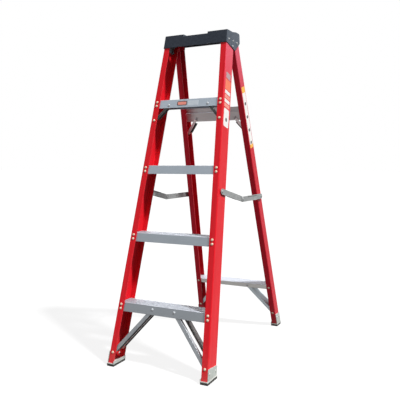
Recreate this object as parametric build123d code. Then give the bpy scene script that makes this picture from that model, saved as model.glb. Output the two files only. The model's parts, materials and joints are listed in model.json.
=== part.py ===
from build123d import *
import os
from math import atan2, cos, degrees, hypot, radians, sin, tan

# Stance: slopes are measured from upright, seen from the side
front_slope = 14.3
rear_slope = 16.65
front_lean = 3.16               # inward lean of each front rail, seen from the front
rear_lean = 3.02
front_base_width = 475.5        # outside of the webs at the floor
pivot_along = 1484.4            # rear rail pivot, measured up the front rail
pivot_side_gap = 1.36           # front web's outer face to rear web's outer face, at the pivot
fold_gap = 4.5                  # space between folded front and rear rails

# Rails
front_rail_depth = 80.0
rear_rail_depth = 51.0
front_wall = 4.5
rear_wall = 4.0
flange_width = 28.0
rail_corner = 4.0
rivet_line = 15.0               # rivet centres, measured in from the web's outer face
rear_rail_crown = 14.0          # rear rail left above the pivot
rail_end_gap = 2.0              # front rail end below the cap's tray

# Steps
step_names = ["bottom_step", "second_step", "third_step", "top_step"]
step_pitch = 304.8
first_step_along = 274.0        # front top edge of the bottom step
step_face = 38.0
sheet = 2.0                     # wall of steps, bars and braces
tread_thickness = 4.0
tread_groove_depth = 1.2
tread_groove_width = 2.6
tread_groove_pitch = 5.6
step_nose = 1.5
step_end_gap = 3.0              # between a step's end and the web
step_rivet_drop = 10.0          # upper rivet below the step's top edge
step_rivet_pitch = 17.5

# Rivets
rivet_head = 6.2
rivet_rise = 3.0
rivet_shank = 3.2
rivet_tail = 5.0
rivet_tail_height = 2.0
hole_clearance = 0.05

# Braces between steps, bars and rails
brace_width = 16.5
brace_depth = 17.0
knee_width = 12.0
knee_depth = 16.0
brace_bare_end = 15.0           # plain plate around each brace rivet
bottom_brace_step_x = 52.5
bottom_brace_step_drop = 15.5
front_brace_foot_along = 59.0
rear_brace_foot_along = 77.0
top_knee_step_x = 97.0
top_knee_step_drop = 25.0
top_knee_rail_drop = 94.9       # rail rivet below the top step's front edge

# Rear bars
lower_bar_top_along = 238.0
lower_bar_face = 23.0
lower_bar_rivet_drop = 12.5
upper_bar_top_along = 1175.4
upper_bar_upper_face = 21.8
upper_bar_lower_face = 42.6
upper_bar_lip = 4.0
upper_bar_step = 12.0           # lower face in front of the upper one
diagonal_width = 17.0
diagonal_bar_x = 83.0
diagonal_foot_along = 76.0
rear_knee_width = 13.0
rear_knee_fold = 13.0           # lower edge, folded back at 45 degrees
rear_knee_bar_x = 104.0
rear_knee_bar_rise = 13.0       # knee rivet above the bar's lower edge
rear_knee_rail_drop = 60.0      # rail rivet below the bar's lower edge

# Shoes and pads
pad_height = 9.0
pad_corner = 3.0
pad_groove_depth = 2.0
pad_groove_width = 4.0
pad_groove_count = 5
sole_thickness = 4.0
sole_margin = 3.0               # sole past the rail, front and rear
shoe_plate = 2.5
shoe_lip = 1.5
shoe_lip_height = 9.0
shoe_inner_margin = 4.4         # sole past the flange tips, measured at the floor
front_shoe_tops = (62.0, 73.0)  # top of the outer plate at its front and rear edges
rear_shoe_tops = (71.0, 55.0)
shoe_rivet_inset = 12.0
shoe_rivet_drop = 20.0
shoe_rivet_head = 5.5
shoe_rivet_rise = 2.4

# Cap
cap_cheek_drop = 44.9           # cheeks' lower edge below the pivot, square to the front rail
cap_skirt = 3.5
cap_fit = 0.3
cap_cheek = 2.9
cap_draft = 2.5
cap_tip_reach = 12.0            # cheek past the front rail's rear face
cap_rear_gap = 2.0              # turning room behind the rear rail's end
cap_rear_low = 4.0              # rear skirt's lower edge above the pivot
cap_rear_notch = 9.5            # skirt cut back between the rear rails
cap_rear_round = 8.0
cap_tray_rise = 27.0            # tray floor above the pivot
cap_tray_floor = 4.0
cap_rim_rise = 33.5             # front rim between the blocks
cap_block_rise = 42.0           # tops of the front blocks
cap_ridge_rise = 48.5           # top of the rear ridge
cap_ridge_width = 40.0
cap_ramp = 36.0
cap_block_inner_x = 61.0
cap_rim_width = 9.0
cap_corner = 5.0                # upright corners
cap_round = 1.5
tool_hole_radius = 12.0
tool_hole_x = 96.0
tool_hole_from_front = 46.0
scallop_radius = 90.0
scallop_depth = 1.5
scallop_pitch = 76.0
rib_thickness = 2.5
rib_height = 5.0
rib_pitch = 60.0
long_rib_from_pivot = 40.0
long_rib_half = 118.0

# Cap bolts and rear rail pivots
bolt_radius = 3.0
bolt_head = 6.0
bolt_head_rise = 3.2
bolt_seat = 1.8                 # cheek left under a bolt head
seat_clearance = 0.5
nut_across = 11.0
nut_height = 5.0
bolt_end = 2.0                  # thread past the nut
front_bolt_inset = 20.5         # bolts in from the front rail's front and rear faces
rear_bolt_inset = 14.0
front_bolt_rise = 25.5          # bolts above the cheeks' lower edge
upper_bolt_rise = 37.5
lower_bolt_rise = 12.0
backing_plate = 3.0
backing_plate_foot = 9.0        # plate below the lowest bolt
backing_plate_margin = 5.0
pivot_radius = 4.0
pivot_head = 7.0
pivot_seat = 2.8
pivot_spacer_radius = 9.0
pivot_nut_across = 13.0
pivot_nut_height = 6.0
pivot_nut_gap = 0.9             # clear of the leaning web as it turns
pivot_spacer_gap = 0.35

# Spreaders
spreader_front_depth = 31.0
spreader_front_along = 778.0
spreader_rear_along = 726.4
spreader_split = 0.489          # middle rivet, as a share of the span between pivots
spreader_sag = 24.0             # middle rivet below the line between pivots
spreader_standoff = 4.2
spreader_spacer_radius = 8.0
arm_height = 25.0
arm_sheet = 2.2
arm_gap = 0.6
arm_lip = 3.6
arm_lip_start = 62.0            # lip's distance from each rivet
arm_side_gap = 0.2
spreader_pin = 4.0
spreader_head = 7.0
spreader_head_rise = 3.2
spreader_tail = 6.0
spreader_tail_gap = 0.4

# Places worked out from the sizes above, in the frame of each leaning section
reach = 4000.0
front_angle = radians(front_slope)
rear_angle = radians(rear_slope)
front_tan = tan(radians(front_lean))
rear_tan = tan(radians(rear_lean))
rivet_hole = rivet_shank + hole_clearance
step_tops = [first_step_along + index * step_pitch for index in range(len(step_names))]
step_rise = (front_rail_depth - 2 * front_wall) * tan(front_angle)
top_knee_rail_along = step_tops[-1] - top_knee_rail_drop
upper_bar_ledge_along = upper_bar_top_along - upper_bar_upper_face
upper_bar_low_along = upper_bar_ledge_along - upper_bar_lower_face
rear_knee_rail_along = upper_bar_low_along - rear_knee_rail_drop
cap_cheek_low_along = pivot_along - cap_cheek_drop
cap_rear_reach = rear_rail_depth / 2 + cap_rear_gap + cap_skirt     # rear face past the pivot


def front_point(depth, along):
    return (depth * cos(front_angle) + along * sin(front_angle),
            along * cos(front_angle) - depth * sin(front_angle))


def rear_point(depth, along):
    return (rear_foot_y + depth * cos(rear_angle) - along * sin(rear_angle),
            depth * sin(rear_angle) + along * cos(rear_angle))


def front_web_x(along):
    return front_base_width / 2 - along * front_tan


def rear_web_x(along):
    return rear_base_width / 2 - along * rear_tan


pivot_y, pivot_z = front_point(front_rail_depth + fold_gap + rear_rail_depth / 2, pivot_along)
rear_pivot_depth = rear_rail_depth / 2
rear_pivot_along = (pivot_z - rear_pivot_depth * sin(rear_angle)) / cos(rear_angle)
rear_foot_y = pivot_y - rear_pivot_depth * cos(rear_angle) + rear_pivot_along * sin(rear_angle)
rear_base_width = 2 * (front_web_x(pivot_along) - pivot_side_gap + rear_pivot_along * rear_tan)

sole_top = pad_height + sole_thickness
front_toe_y = pad_height * tan(front_angle) - sole_margin
front_heel_y = front_rail_depth / cos(front_angle) + sole_top * tan(front_angle) + sole_margin
rear_toe_y = rear_foot_y - sole_top * tan(rear_angle) - sole_margin
rear_heel_y = rear_foot_y + rear_rail_depth / cos(rear_angle) - pad_height * tan(rear_angle) + sole_margin
centre_y = (front_toe_y + rear_heel_y) / 2

level_place = Pos(0, -centre_y, 0)
front_place = level_place * Rot(-front_slope, 0, 0)
rear_place = level_place * Pos(0, rear_foot_y, 0) * Rot(rear_slope, 0, 0)
front_lean_frame = Pos(front_base_width / 2, 0, 0) * Rot(0, -front_lean, 0)
rear_lean_frame = Pos(rear_base_width / 2, 0, 0) * Rot(0, -rear_lean, 0)
tray_under_z = pivot_z + cap_tray_rise - cap_tray_floor


# Basic shapes
def prism_x(points, low, high):
    plane = Plane(origin=(low, 0, 0), x_dir=(0, 1, 0), z_dir=(1, 0, 0))
    return extrude(plane * Polygon(*points, align=None), high - low, dir=(1, 0, 0))


def prism_y(points, low, high):
    plane = Plane(origin=(0, low, 0), x_dir=(1, 0, 0), z_dir=(0, -1, 0))
    return extrude(plane * Polygon(*points, align=None), high - low, dir=(0, 1, 0))


def block(x_low, x_high, y_low, y_high, z_low, z_high):
    middle = Pos((x_low + x_high) / 2, (y_low + y_high) / 2, (z_low + z_high) / 2)
    return middle * Box(x_high - x_low, y_high - y_low, z_high - z_low)


def rod_x(y, z, radius, low, high):
    return Pos((low + high) / 2, y, z) * Rot(0, 90, 0) * Cylinder(radius, high - low)


def rod_y(x, z, radius, low, high):
    return Pos(x, (low + high) / 2, z) * Rot(90, 0, 0) * Cylinder(radius, high - low)


def ring_x(y, z, radius, bore, low, high):
    return rod_x(y, z, radius, low, high) - rod_x(y, z, bore, low - 1, high + 1)


def nut_x(y, z, across, bore, low, high):
    plane = Plane(origin=(low, y, z), x_dir=(0, 1, 0), z_dir=(1, 0, 0))
    body = extrude(plane * RegularPolygon(across / 2, 6, major_radius=False), high - low, dir=(1, 0, 0))
    return body - rod_x(y, z, bore, low - 1, high + 1)


def cut_all(shape, cutters):
    for cutter in cutters:
        shape = shape - cutter
    return shape


def left_of(shape):
    return mirror(shape, about=Plane.YZ)


def on_both_sides(shapes):
    return shapes + [left_of(shape) for shape in shapes]


def half_beyond(frame, offset):
    return frame * block(offset, reach, -reach, reach, -reach, reach)


def level_slab(place, low, high):
    return place.inverse() * level_place * block(-reach, reach, -reach, reach, low, high)


# Fasteners: turned about Y, with the head's underside at 0 and the shank towards +Y
def domed_head(radius, rise):
    sphere = (radius ** 2 + rise ** 2) / (2 * rise)
    half_turn = atan2(radius, sphere - rise) / 2
    middle = (sphere * sin(half_turn), sphere - rise - sphere * cos(half_turn))
    return ThreePointArc((0, -rise), middle, (radius, 0))


def rivet(grip, head=rivet_head, rise=rivet_rise, shank=rivet_shank, tail=rivet_tail):
    tail_end = grip + rivet_tail_height
    sides = Polyline((head, 0), (shank, 0), (shank, grip), (tail, grip),
                     (shank, tail_end), (0, tail_end), (0, -rise))
    return revolve(make_face([domed_head(head, rise)] + sides.edges()), Axis.Y)


def stud(grip, head, rise, shank):
    sides = Polyline((head, 0), (shank, 0), (shank, grip), (0, grip), (0, -rise))
    return revolve(make_face([domed_head(head, rise)] + sides.edges()), Axis.Y)


def from_front(spot, depth, fastener):
    return Pos(spot[0], depth, spot[1]) * fastener


def from_rear(spot, depth, fastener):
    return Pos(spot[0], depth, spot[1]) * Rot(0, 0, 180) * fastener


def from_right(x, depth, along, fastener):
    return Pos(x, depth, along) * Rot(0, 0, 90) * fastener


def from_left(x, depth, along, fastener):
    return Pos(x, depth, along) * Rot(0, 0, -90) * fastener


def rivet_washer(x, along, low, high):
    return rod_y(x, along, rivet_head, low, high) - rod_y(x, along, rivet_hole, low - 1, high + 1)


# Rails
def channel_rail(depth, wall, length):
    outer = Polygon((0, 0), (0, depth), (-flange_width, depth), (-flange_width, 0), align=None)
    outer = fillet(outer.vertices().group_by(Axis.X)[-1], rail_corner)
    past = 2 * flange_width
    inner = Polygon((-wall, wall), (-wall, depth - wall), (-past, depth - wall), (-past, wall), align=None)
    inner = fillet(inner.vertices().group_by(Axis.X)[-1], rail_corner / 2)
    return Pos(0, 0, -flange_width) * extrude(outer - inner, length + flange_width, dir=(0, 0, 1))


def front_rivet_spots():
    spots = []
    for top in step_tops:
        spots += [top - step_rivet_drop, top - step_rivet_drop - step_rivet_pitch]
    return spots


def rail_spot(web_x, along):
    return web_x(along) - rivet_line, along


def flange_holes(web_x, spots, low, high):
    return [rod_y(*rail_spot(web_x, along), rivet_hole, low, high) for along in spots]


def shoe_rivet_spots(depth, tops):
    spots = []
    for place in (shoe_rivet_inset, depth - shoe_rivet_inset):
        top = tops[0] + (tops[1] - tops[0]) * place / depth
        spots.append((place, top - shoe_rivet_drop))
    return spots


def shoe_rivet_holes(frame, depth, wall, tops):
    return [frame * rod_x(place, along, rivet_hole, -wall - 1, shoe_plate + 1)
            for place, along in shoe_rivet_spots(depth, tops)]


def cap_bolt_spots():
    rear_depth = front_rail_depth - rear_bolt_inset
    return [(front_bolt_inset, cap_cheek_low_along + front_bolt_rise),
            (rear_depth, cap_cheek_low_along + upper_bolt_rise),
            (rear_depth, cap_cheek_low_along + lower_bolt_rise)]


def cap_bolt_holes(low, high):
    return [front_lean_frame * rod_x(depth, along, bolt_radius + hole_clearance, low, high)
            for depth, along in cap_bolt_spots()]


def front_rail():
    rail = front_lean_frame * channel_rail(front_rail_depth, front_wall, pivot_along + front_rail_depth)
    rail = rail & level_slab(front_place, sole_top, tray_under_z - rail_end_gap)
    front_spots = front_rivet_spots() + [front_brace_foot_along, top_knee_rail_along]
    rear_spots = [along + step_rise for along in front_rivet_spots()] + [rear_brace_foot_along]
    web_x = front_web_x(spreader_front_along)
    pin_hole = rod_x(spreader_front_depth, spreader_front_along, spreader_pin + hole_clearance,
                     web_x - flange_width, web_x + flange_width)
    holes = flange_holes(front_web_x, front_spots, -1, front_wall + 1)
    holes += flange_holes(front_web_x, rear_spots, front_rail_depth - front_wall - 1, front_rail_depth + 1)
    holes += shoe_rivet_holes(front_lean_frame, front_rail_depth, front_wall, front_shoe_tops)
    holes += cap_bolt_holes(-front_wall - 1, 1)
    return cut_all(rail, holes + [pin_hole])


def rear_rail():
    rail = rear_lean_frame * channel_rail(rear_rail_depth, rear_wall, rear_pivot_along + rear_rail_depth)
    rail = rail & level_slab(rear_place, sole_top, reach)
    below = block(-reach, reach, -reach, reach, -reach, rear_pivot_along)
    crown = rod_x(rear_pivot_depth, rear_pivot_along, rear_rail_depth / 2, -reach, reach)
    crown = crown & block(-reach, reach, -reach, reach, -reach, rear_pivot_along + rear_rail_crown)
    rail = rail & (below + crown)
    holes = flange_holes(rear_web_x, [lower_bar_rivet_along, diagonal_foot_along], -1, rear_rail_depth + 1)
    holes += flange_holes(rear_web_x, [upper_bar_rivet_along, rear_knee_rail_along],
                          rear_rail_depth - rear_wall - 1, rear_rail_depth + 1)
    holes += shoe_rivet_holes(rear_lean_frame, rear_rail_depth, rear_wall, rear_shoe_tops)
    for along, radius in ((spreader_rear_along, spreader_pin), (rear_pivot_along, pivot_radius)):
        web_x = rear_web_x(along)
        holes.append(rod_x(rear_pivot_depth, along, radius + hole_clearance,
                           web_x - flange_width, web_x + flange_width))
    return cut_all(rail, holes)


# Steps and bars between the rails
def between_webs(web_x, wall, lean, low, high):
    inset = wall / cos(radians(lean)) + step_end_gap
    return prism_y([(inset - web_x(low), low), (web_x(low) - inset, low),
                    (web_x(high) - inset, high), (inset - web_x(high), high)], -reach, reach)


def wall_holes(spots, low, high):
    return on_both_sides([rod_y(x, along, rivet_hole, low, high) for x, along in spots])


def step(top, front_extra, rear_extra):
    front = front_wall
    rear = front_rail_depth - front_wall
    rear_top = top + step_rise
    under = tread_thickness / cos(front_angle)
    slope = tan(front_angle)
    outer = Polygon((front, top - step_face), (front, top), (rear, rear_top),
                    (rear, rear_top - step_face), align=None)
    outer = fillet(outer.vertices().group_by(Axis.X)[0].sort_by(Axis.Y)[-1], step_nose)
    inner = Polygon((front + sheet, top - 2 * step_face), (front + sheet, top + sheet * slope - under),
                    (rear - sheet, rear_top - sheet * slope - under), (rear - sheet, top - 2 * step_face),
                    align=None)
    length = front_web_x(top - step_face)
    plane = Plane(origin=(-length, 0, 0), x_dir=(0, 1, 0), z_dir=(1, 0, 0))
    shape = extrude(plane * (outer - inner), 2 * length, dir=(1, 0, 0))
    tread = (rear - front) / cos(front_angle)
    count = int((tread - tread_groove_pitch) / tread_groove_pitch)
    start = (tread - (count - 1) * tread_groove_pitch) / 2
    for index in range(count):
        middle = start + index * tread_groove_pitch
        groove = block(-length, length, middle - tread_groove_width / 2, middle + tread_groove_width / 2,
                       -tread_groove_depth, tread_groove_depth)
        shape -= Pos(0, front, top) * Rot(front_slope, 0, 0) * groove
    shape = shape & between_webs(front_web_x, front_wall, front_lean, top - step_face, rear_top)
    rows = (top - step_rivet_drop, top - step_rivet_drop - step_rivet_pitch)
    front_spots = [rail_spot(front_web_x, along) for along in rows]
    rear_spots = [rail_spot(front_web_x, along + step_rise) for along in rows]
    holes = wall_holes(front_spots + front_extra, front - 1, front + sheet + 1)
    holes += wall_holes(rear_spots + rear_extra, rear - sheet - 1, rear + 1)
    return cut_all(shape, holes)


def rear_bar(points, low, high, spots):
    length = rear_web_x(low)
    bar = prism_x(points, -length, length) & between_webs(rear_web_x, rear_wall, rear_lean, low, high)
    return cut_all(bar, wall_holes(spots, -1, rear_rail_depth + 1))


lower_bar_rivet_along = lower_bar_top_along - lower_bar_rivet_drop
upper_bar_rivet_along = (upper_bar_ledge_along + upper_bar_top_along) / 2
rear_knee_bar_along = upper_bar_low_along + rear_knee_bar_rise


def lower_bar():
    front = rear_wall
    back = rear_rail_depth - rear_wall
    top = lower_bar_top_along
    low = top - lower_bar_face
    points = [(front, low), (front, top), (back, top), (back, low), (back - sheet, low),
              (back - sheet, top - sheet), (front + sheet, top - sheet), (front + sheet, low)]
    spots = [rail_spot(rear_web_x, lower_bar_rivet_along), (diagonal_bar_x, lower_bar_rivet_along)]
    return rear_bar(points, low, top, spots)


upper_bar_tier = rear_rail_depth - rear_wall - upper_bar_step


def upper_bar():
    back = rear_rail_depth - rear_wall
    tier = upper_bar_tier
    low, ledge, top = upper_bar_low_along, upper_bar_ledge_along, upper_bar_top_along
    points = [(tier - sheet, low), (tier + upper_bar_lip, low), (tier + upper_bar_lip, low + sheet),
              (tier, low + sheet), (tier, ledge - sheet), (back, ledge - sheet), (back, top),
              (back - sheet - upper_bar_lip, top), (back - sheet - upper_bar_lip, top - sheet),
              (back - sheet, top - sheet), (back - sheet, ledge), (tier - sheet, ledge)]
    spots = [rail_spot(rear_web_x, upper_bar_rivet_along), (rear_knee_bar_x, rear_knee_bar_along)]
    return rear_bar(points, low, top, spots)


# Braces: a rounded plate under each rivet, with folded edges between them
def brace_plate(start, end, width, low, high):
    run = hypot(end[0] - start[0], end[1] - start[1])
    turn = degrees(atan2(end[1] - start[1], end[0] - start[0]))
    plane = Plane(origin=(start[0], low, start[1]), x_dir=(1, 0, 0), z_dir=(0, -1, 0))
    outline = Rot(0, 0, turn) * Pos(run / 2, 0, 0) * SlotCenterToCenter(run, width)
    plate = extrude(plane * outline, high - low, dir=(0, 1, 0))
    return cut_all(plate, [rod_y(x, along, rivet_hole, low - 1, high + 1) for x, along in (start, end)])


def brace_edge(start, end, width, side, low, high):
    run = hypot(end[0] - start[0], end[1] - start[1])
    turn = degrees(atan2(end[1] - start[1], end[0] - start[0]))
    limits = sorted((side * width / 2, side * (width / 2 - sheet)))
    strip = block(brace_bare_end, run - brace_bare_end, low, high, limits[0], limits[1])
    return Pos(start[0], 0, start[1]) * Rot(0, -turn, 0) * strip


def channel_brace(start, end, width, plate_low, edge_low, edge_high):
    brace = brace_plate(start, end, width, plate_low, plate_low + sheet)
    for side in (-1, 1):
        brace += brace_edge(start, end, width, side, edge_low, edge_high)
    return brace


front_brace_ends = ((bottom_brace_step_x, step_tops[0] - bottom_brace_step_drop),
                    rail_spot(front_web_x, front_brace_foot_along))
back_brace_ends = ((bottom_brace_step_x, step_tops[0] + step_rise - bottom_brace_step_drop),
                   rail_spot(front_web_x, rear_brace_foot_along))
top_knee_ends = ((top_knee_step_x, step_tops[-1] - top_knee_step_drop),
                 rail_spot(front_web_x, top_knee_rail_along))
rear_knee_ends = ((rear_knee_bar_x, rear_knee_bar_along), rail_spot(rear_web_x, rear_knee_rail_along))
diagonal_ends = ((diagonal_bar_x, lower_bar_rivet_along), rail_spot(rear_web_x, diagonal_foot_along))
front_plate_low = front_wall + sheet
back_plate_low = front_rail_depth - front_wall - 2 * sheet
rear_plate_low = rear_rail_depth - rear_wall - 2 * sheet
rear_knee_low = upper_bar_tier - 2 * sheet      # in front of the bar's lower tier


def bottom_front_brace():
    return channel_brace(*front_brace_ends, brace_width, front_plate_low, front_plate_low,
                         front_plate_low + brace_depth)


def bottom_rear_brace():
    return channel_brace(*back_brace_ends, brace_width, back_plate_low, back_plate_low + sheet - brace_depth,
                         back_plate_low + sheet)


def top_knee():
    return channel_brace(*top_knee_ends, knee_width, front_plate_low, front_plate_low,
                         front_plate_low + knee_depth)


def rear_knee():
    start, end = rear_knee_ends
    run = hypot(end[0] - start[0], end[1] - start[1])
    turn = degrees(atan2(end[1] - start[1], end[0] - start[0]))
    low, edge, back = rear_knee_low, -rear_knee_width / 2, rear_knee_fold * 0.5 ** 0.5
    points = [(low, edge + sheet), (low, edge), (low + back, edge - back),
              (low + back + sheet, edge - back + sheet), (low + sheet, edge + sheet)]
    fold = prism_x(points, brace_bare_end + 2 * sheet, run - brace_bare_end)
    plate = brace_plate(start, end, rear_knee_width, low, low + sheet)
    return plate + Pos(start[0], 0, start[1]) * Rot(0, -turn, 0) * fold


def diagonal_brace():
    front_low = rear_wall + sheet
    brace = brace_edge(*diagonal_ends, diagonal_width, 1, front_low, rear_plate_low + sheet)
    for low in (front_low, rear_plate_low):
        brace += brace_plate(*diagonal_ends, diagonal_width, low, low + sheet)
    return brace


# Rivets and washers, right side in the frame of their section
def step_front_rivets():
    fastener = rivet(front_wall + sheet)
    return [from_front(rail_spot(front_web_x, along), 0, fastener) for along in front_rivet_spots()]


def step_rear_rivets():
    fastener = rivet(front_wall + sheet)
    return [from_rear(rail_spot(front_web_x, along + step_rise), front_rail_depth, fastener)
            for along in front_rivet_spots()]


def bottom_brace_rivets():
    on_rail = rivet(front_wall + 2 * sheet)
    on_step = rivet(2 * sheet)
    return [from_front(front_brace_ends[0], front_wall, on_step), from_front(front_brace_ends[1], 0, on_rail),
            from_rear(back_brace_ends[0], front_rail_depth - front_wall, on_step),
            from_rear(back_brace_ends[1], front_rail_depth, on_rail)]


def bottom_brace_washers():
    back = front_rail_depth - front_wall
    return [rivet_washer(*front_brace_ends[1], front_wall, front_wall + sheet),
            rivet_washer(*back_brace_ends[1], back - sheet, back)]


def top_knee_rivets():
    return [from_front(top_knee_ends[0], front_wall, rivet(2 * sheet)),
            from_front(top_knee_ends[1], 0, rivet(front_wall + 2 * sheet))]


def top_knee_washers():
    return [rivet_washer(*top_knee_ends[1], front_wall, front_wall + sheet)]


def rear_bar_rivets():
    fastener = rivet(rear_wall + sheet)
    lower = rail_spot(rear_web_x, lower_bar_rivet_along)
    upper = rail_spot(rear_web_x, upper_bar_rivet_along)
    return [from_front(lower, 0, fastener), from_rear(lower, rear_rail_depth, fastener),
            from_rear(upper, rear_rail_depth, fastener)]


def rear_brace_rivets():
    on_rail = rivet(rear_wall + 2 * sheet)
    on_bar = rivet(2 * sheet)
    back = rear_rail_depth - rear_wall
    return [from_front(rear_knee_ends[0], rear_knee_low, on_bar),
            from_rear(rear_knee_ends[1], rear_rail_depth, rivet(rear_rail_depth - rear_knee_low)),
            from_front(diagonal_ends[0], rear_wall, on_bar), from_rear(diagonal_ends[0], back, on_bar),
            from_front(diagonal_ends[1], 0, on_rail), from_rear(diagonal_ends[1], rear_rail_depth, on_rail)]


def rear_brace_washers():
    back = rear_rail_depth - rear_wall
    return [rivet_washer(*rear_knee_ends[1], rear_knee_low + sheet, back),
            rivet_washer(*diagonal_ends[1], back - sheet, back),
            rivet_washer(*diagonal_ends[1], rear_wall, rear_wall + sheet)]


def shoe_rivets(frame, depth, wall, tops):
    fastener = rivet(shoe_plate + wall, shoe_rivet_head, shoe_rivet_rise)
    return [frame * from_right(shoe_plate, place, along, fastener)
            for place, along in shoe_rivet_spots(depth, tops)]


# Feet, already level on the floor
def shoe(place, frame, base_width, depth, wall, tops, toe_y, heel_y):
    outer = base_width / 2 + shoe_plate
    inner = base_width / 2 - flange_width - shoe_inner_margin
    outline = [(0, -depth), (depth, -depth), (depth, tops[1]), (0, tops[0])]
    plate = cut_all(frame * prism_x(outline, 0, shoe_plate), shoe_rivet_holes(frame, depth, wall, tops))
    plate = place * (plate & level_slab(place, pad_height, reach))
    sole = block(inner, outer, toe_y, heel_y, pad_height, sole_top)
    lip = block(inner, inner + shoe_lip, toe_y, heel_y, pad_height, sole_top + shoe_lip_height)
    return plate + level_place * (sole + lip)


def pad(base_width, toe_y, heel_y):
    outer = base_width / 2 + shoe_plate
    inner = base_width / 2 - flange_width - shoe_inner_margin
    body = block(inner, outer, toe_y, heel_y, 0, pad_height)
    body = fillet(body.edges().filter_by(Axis.Z), pad_corner)
    spacing = (heel_y - toe_y) / pad_groove_count
    for index in range(pad_groove_count):
        middle = toe_y + (index + 0.5) * spacing
        body -= block(inner - 1, outer + 1, middle - pad_groove_width / 2, middle + pad_groove_width / 2,
                      -1, pad_groove_depth)
    return level_place * body


# Cap, moulded hollow, with a tray between two blocks and a ridge along the rear
def cap_body():
    front_low = front_point(-cap_fit - cap_skirt, cap_cheek_low_along)
    tip = front_point(front_rail_depth + cap_tip_reach, cap_cheek_low_along)
    rear_y = pivot_y + cap_rear_reach
    block_z = pivot_z + cap_block_rise
    ridge_z = pivot_z + cap_ridge_rise
    ridge_y = rear_y - cap_ridge_width
    front_top_y = front_low[0] + (block_z - front_low[1]) * tan(front_angle)
    outline = Polygon(front_low, tip, (rear_y, pivot_z + cap_rear_low), (rear_y, ridge_z), (ridge_y, ridge_z),
                      (ridge_y - cap_ramp, block_z), (front_top_y, block_z), align=None)
    outline = fillet(outline.vertices().group_by(Axis.X)[-1], cap_rear_round)
    tip_half = front_web_x(cap_cheek_low_along) + cap_fit + cap_cheek
    floor_half = tip_half + tip[1] * tan(radians(cap_draft))
    above_z = ridge_z + cap_corner
    above_half = tip_half - (above_z - tip[1]) * tan(radians(cap_draft))
    ends = [(-floor_half, 0), (floor_half, 0), (above_half, above_z), (-above_half, above_z)]
    plane = Plane(origin=(-floor_half, 0, 0), x_dir=(0, 1, 0), z_dir=(1, 0, 0))
    body = extrude(plane * outline, 2 * floor_half, dir=(1, 0, 0)) & prism_y(ends, -reach, reach)
    front_face = body.faces().sort_by(Axis.Y)[0]
    body = fillet(front_face.edges().group_by(SortBy.LENGTH)[0], cap_corner)
    end_edges = [edge for edge in body.edges() if abs(edge.center().X) > cap_block_inner_x]
    body = fillet(end_edges, cap_round)
    rim_y = front_top_y + cap_rim_width
    tray = block(-cap_block_inner_x, cap_block_inner_x, rim_y, ridge_y, pivot_z + cap_tray_rise, reach)
    rim = block(-cap_block_inner_x, cap_block_inner_x, 0, rim_y + 1, pivot_z + cap_rim_rise, reach)
    notch_half = front_web_x(pivot_along) - flange_width
    notch = block(-notch_half, notch_half, rear_y - 2 * cap_skirt, rear_y + 1, 0,
                  pivot_z + cap_rear_low + cap_rear_notch)
    body = body - tray - rim - notch
    tool_hole_y = front_low[0] + tool_hole_from_front
    for x in (-tool_hole_x, tool_hole_x):
        body -= Pos(x, tool_hole_y, block_z) * Cylinder(tool_hole_radius, 2 * cap_block_rise)
    scallop_z = front_low[1] + scallop_depth - scallop_radius
    for index in (-1, 0, 1):
        body -= rod_y(index * scallop_pitch, scallop_z, scallop_radius, front_low[0] - cap_skirt, tip[0])
    return body


def cap_hollow():
    low = cap_cheek_low_along - front_rail_depth
    high = pivot_along + front_rail_depth
    fit = cap_fit / cos(radians(front_lean))
    sides = [(-front_web_x(low) - fit, low), (front_web_x(low) + fit, low),
             (front_web_x(high) + fit, high), (-front_web_x(high) - fit, high)]
    within = block(-reach, reach, 0, pivot_y + cap_rear_reach - cap_skirt, 0, tray_under_z)
    return front_place * prism_y(sides, -cap_fit, reach) & level_place * within


def cap_ribs():
    low = tray_under_z - rib_height
    high = tray_under_z + cap_tray_floor / 2
    front_low = front_point(-cap_fit - cap_skirt, cap_cheek_low_along)
    front_y = front_low[0] + (high - front_low[1]) * tan(front_angle) + cap_skirt / 3
    rear_y = pivot_y + cap_rear_reach - cap_skirt / 2
    half = rib_thickness / 2
    long_y = pivot_y - long_rib_from_pivot
    ribs = block(-long_rib_half, long_rib_half, long_y - half, long_y + half, low, high)
    for index in (-1, 0, 1):
        ribs += block(index * rib_pitch - half, index * rib_pitch + half, front_y, rear_y, low, high)
    return ribs


def cap():
    shape = level_place * cap_body() - cap_hollow() + level_place * cap_ribs()
    seat = cap_fit + bolt_seat
    cutters = []
    for depth, along in cap_bolt_spots():
        cutters += [rod_x(depth, along, bolt_radius + hole_clearance, -front_wall, reach / 2),
                    rod_x(depth, along, bolt_head + seat_clearance, seat, reach / 2)]
    cutters = [front_place * front_lean_frame * cutter for cutter in cutters]
    cutters += [level_place * rod_x(pivot_y, pivot_z, pivot_radius + hole_clearance, flange_width, reach),
                level_place * rod_x(pivot_y, pivot_z, pivot_head + seat_clearance, pivot_seat_x, reach)]
    return cut_all(shape, on_both_sides(cutters))


def cap_bolts():
    seat = cap_fit + bolt_seat
    grip = seat + front_wall + backing_plate + nut_height + bolt_end
    fastener = stud(grip, bolt_head, bolt_head_rise, bolt_radius)
    return [front_lean_frame * from_right(seat, depth, along, fastener) for depth, along in cap_bolt_spots()]


def cap_nuts():
    high = -front_wall - backing_plate
    bore = bolt_radius + hole_clearance
    return [front_lean_frame * nut_x(depth, along, nut_across, bore, high - nut_height, high)
            for depth, along in cap_bolt_spots()]


def cap_backing_plate():
    low = front_wall + backing_plate_margin
    plate = block(-front_wall - backing_plate, -front_wall, low, front_rail_depth - low,
                  cap_cheek_low_along + lower_bolt_rise - backing_plate_foot, pivot_along + front_rail_depth)
    plate = front_lean_frame * plate & level_slab(front_place, 0, tray_under_z - rail_end_gap)
    return cut_all(plate, cap_bolt_holes(-front_wall - backing_plate - 1, 1))


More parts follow.
